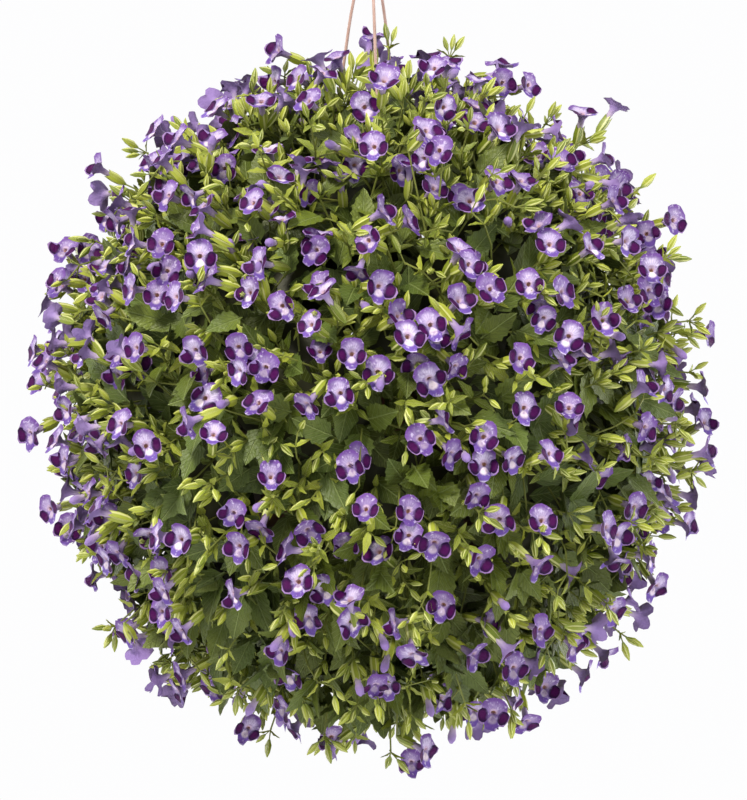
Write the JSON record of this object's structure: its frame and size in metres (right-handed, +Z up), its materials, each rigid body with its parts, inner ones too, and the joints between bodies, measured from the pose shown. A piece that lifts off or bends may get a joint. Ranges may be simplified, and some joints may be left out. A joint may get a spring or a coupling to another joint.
{
  "type": "wishbone flower hanging basket",
  "caption": "Ball of leafy stems with two-lipped violet blooms, grown all round a tapered pot of soil that hangs on three strands from a wire hook.",
  "frame": {"origin": "the point of the hook that bears on what the basket hangs from: the middle of the underside of the wire at the top of the bend", "axes": "+Z up; -Y is the front, seen level in the picture; +X is to the right of the front"},
  "size_m": [0.5777, 0.5616, 0.7745],
  "materials": {
    "pot_plastic": "moulded, slightly matt terracotta-brown plastic; wholly covered by the foliage, so its colour is a guess",
    "soil": null,
    "hanger_plastic": "tan plastic strands and hanger, satin",
    "foliage": null
  },
  "bodies": {
    "root": {"pot": "pot_plastic", "soil": "soil", "hook": "hanger_plastic", "strand_1": "hanger_plastic", "strand_2": "hanger_plastic", "strand_3": "hanger_plastic", "leafy_stem_01": "foliage", "leafy_stem_02": "foliage", "leafy_stem_03": "foliage", "leafy_stem_04": "foliage", "leafy_stem_05": "foliage", "leafy_stem_06": "foliage", "leafy_stem_07": "foliage", "leafy_stem_08": "foliage", "leafy_stem_09": "foliage", "leafy_stem_10": "foliage", "leafy_stem_11": "foliage", "leafy_stem_12": "foliage", "leafy_stem_13": "foliage", "leafy_stem_14": "foliage", "leafy_stem_15": "foliage", "leafy_stem_16": "foliage", "leafy_stem_17": "foliage", "leafy_stem_18": "foliage", "leafy_stem_19": "foliage", "leafy_stem_20": "foliage", "leafy_stem_21": "foliage", "leafy_stem_22": "foliage", "leafy_stem_23": "foliage", "leafy_stem_24": "foliage", "leafy_stem_25": "foliage", "leafy_stem_26": "foliage", "leafy_stem_27": "foliage", "leafy_stem_28": "foliage", "leafy_stem_29": "foliage", "leafy_stem_30": "foliage", "leafy_stem_31": "foliage", "leafy_stem_32": "foliage", "leafy_stem_33": "foliage", "leafy_stem_34": "foliage"}
  },
  "joints": []
}
